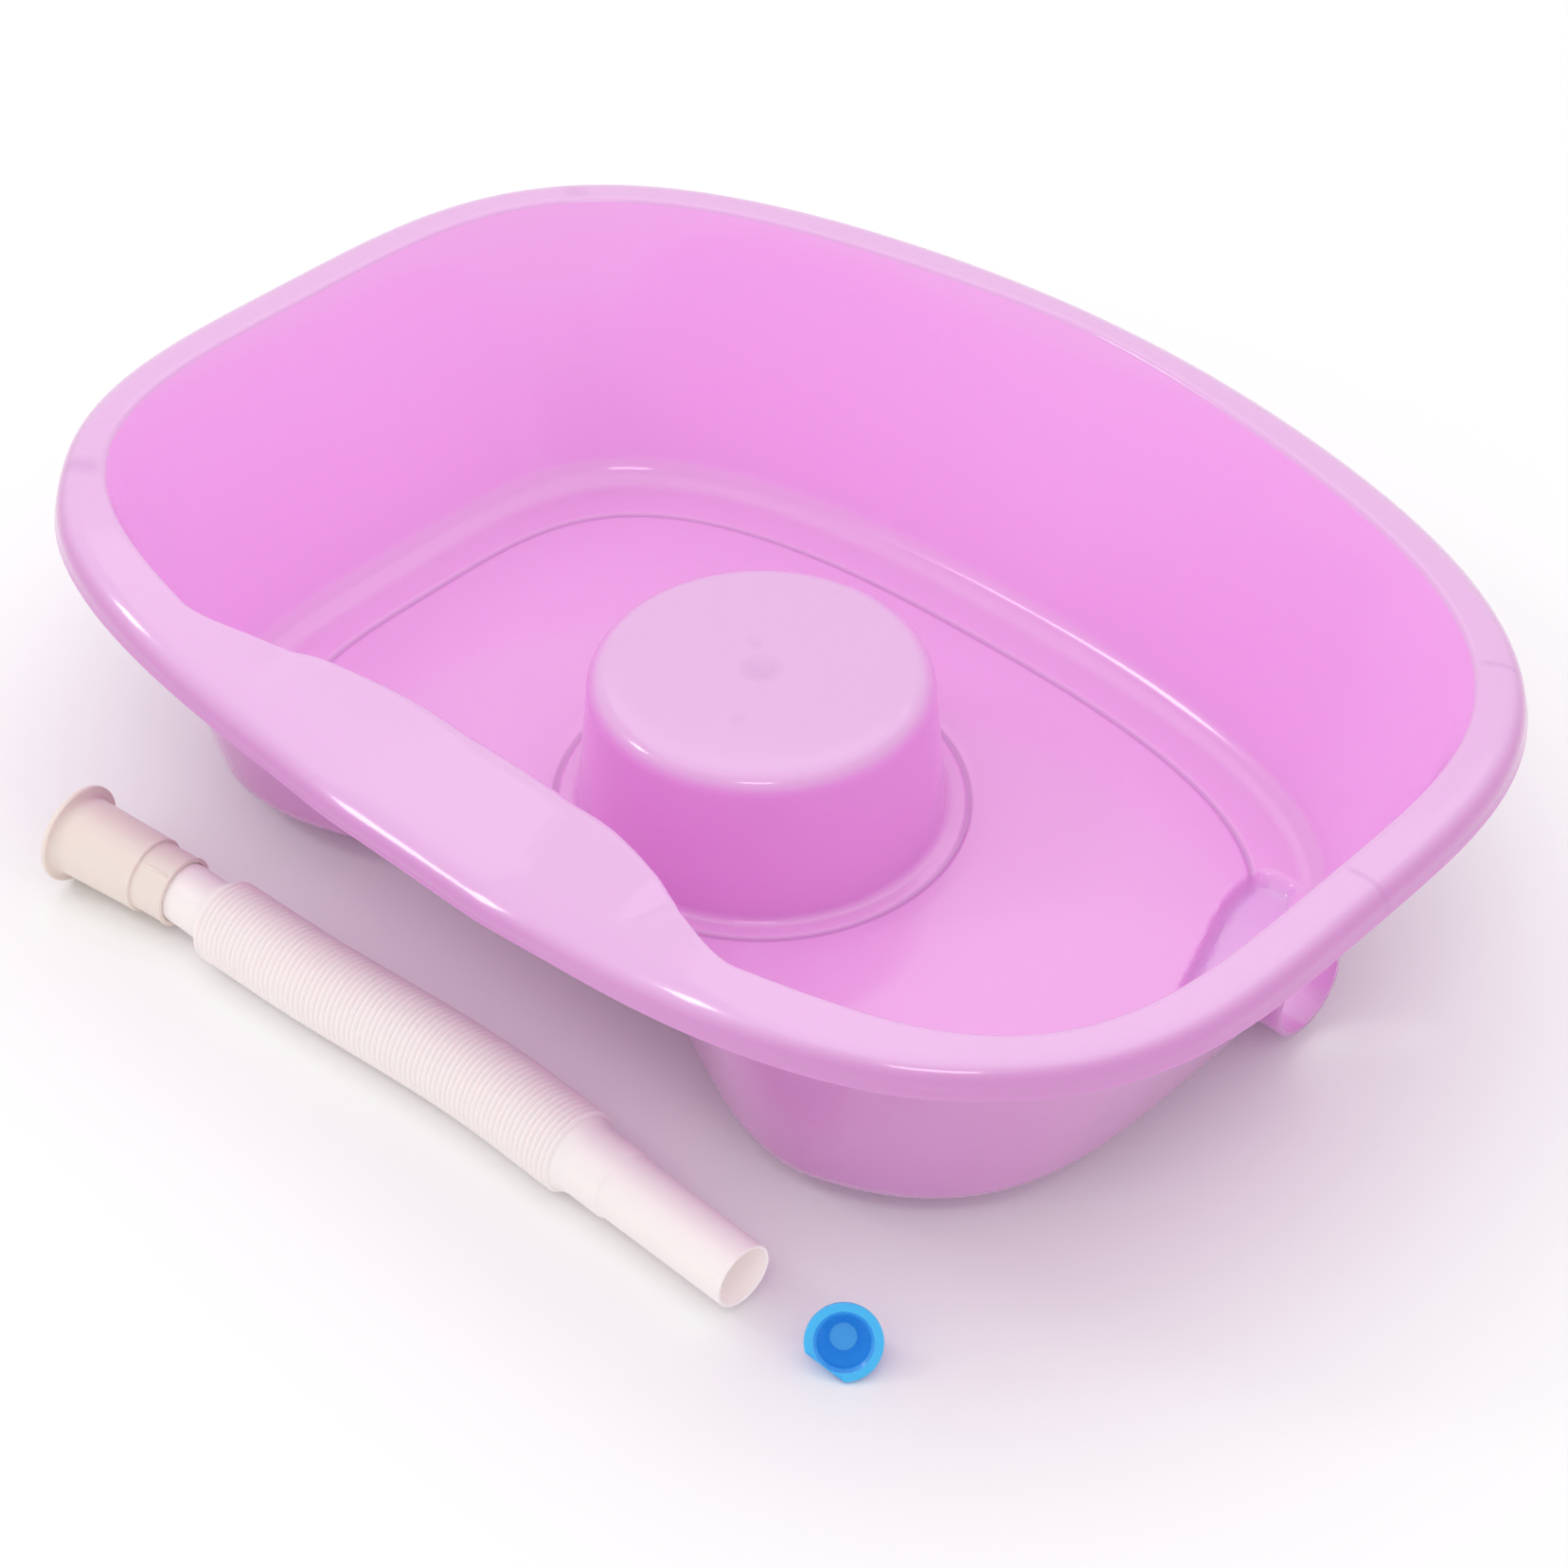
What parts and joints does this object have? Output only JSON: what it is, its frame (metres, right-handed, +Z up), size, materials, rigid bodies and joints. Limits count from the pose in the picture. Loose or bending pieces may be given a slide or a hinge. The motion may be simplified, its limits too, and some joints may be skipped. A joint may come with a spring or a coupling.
{
  "type": "portable shampoo basin",
  "caption": "Portable shampoo basin with a neck rest, a raised head rest and a floor drain, with its stretching drain hose, push-on coupling and stopper.",
  "frame": {"origin": "on the ground, under the middle of the basin and its stopper in plan", "axes": "+X along the bowl towards its drain spigot, -Y towards the neck rest, +Z up"},
  "size_m": [0.5562, 0.4409, 0.129],
  "materials": {
    "bowl_pink": "glossy, slightly translucent pink-lilac polypropylene",
    "hose_milky": "milky, soft and translucent",
    "coupling_ivory": "ivory, satin",
    "stopper_blue": "translucent blue, satin"
  },
  "bodies": {
    "basin": {"basin_shell": "bowl_pink"},
    "hose_outlet": {"hose_outlet_spout": "hose_milky", "hose_bellows": "hose_milky"},
    "hose_inlet": {"hose_inlet_cuff": "hose_milky"},
    "coupling": {"drain_coupling": "coupling_ivory"},
    "stopper": {"drain_stopper": "stopper_blue"}
  },
  "joints": [
    {"name": "hose_lift", "type": "slide", "parent": "basin", "child": "hose_outlet", "axis": [0, -0.7071, 0.7071], "range_m": [0, 0.15]},
    {"name": "hose_stretch", "type": "slide", "parent": "hose_outlet", "child": "hose_inlet", "axis": [-0.9991, -0.0419, 0], "range_m": [0, 0.18], "deforming": ["hose_bellows"]},
    {"name": "coupling_pull", "type": "slide", "parent": "hose_inlet", "child": "coupling", "axis": [-0.9873, -0.1493, 0.0539], "range_m": [0, 0.03]},
    {"name": "stopper_lift", "type": "slide", "parent": "basin", "child": "stopper", "axis": [0.5, -0.5, 0.7071], "range_m": [0, 0.1]}
  ]
}
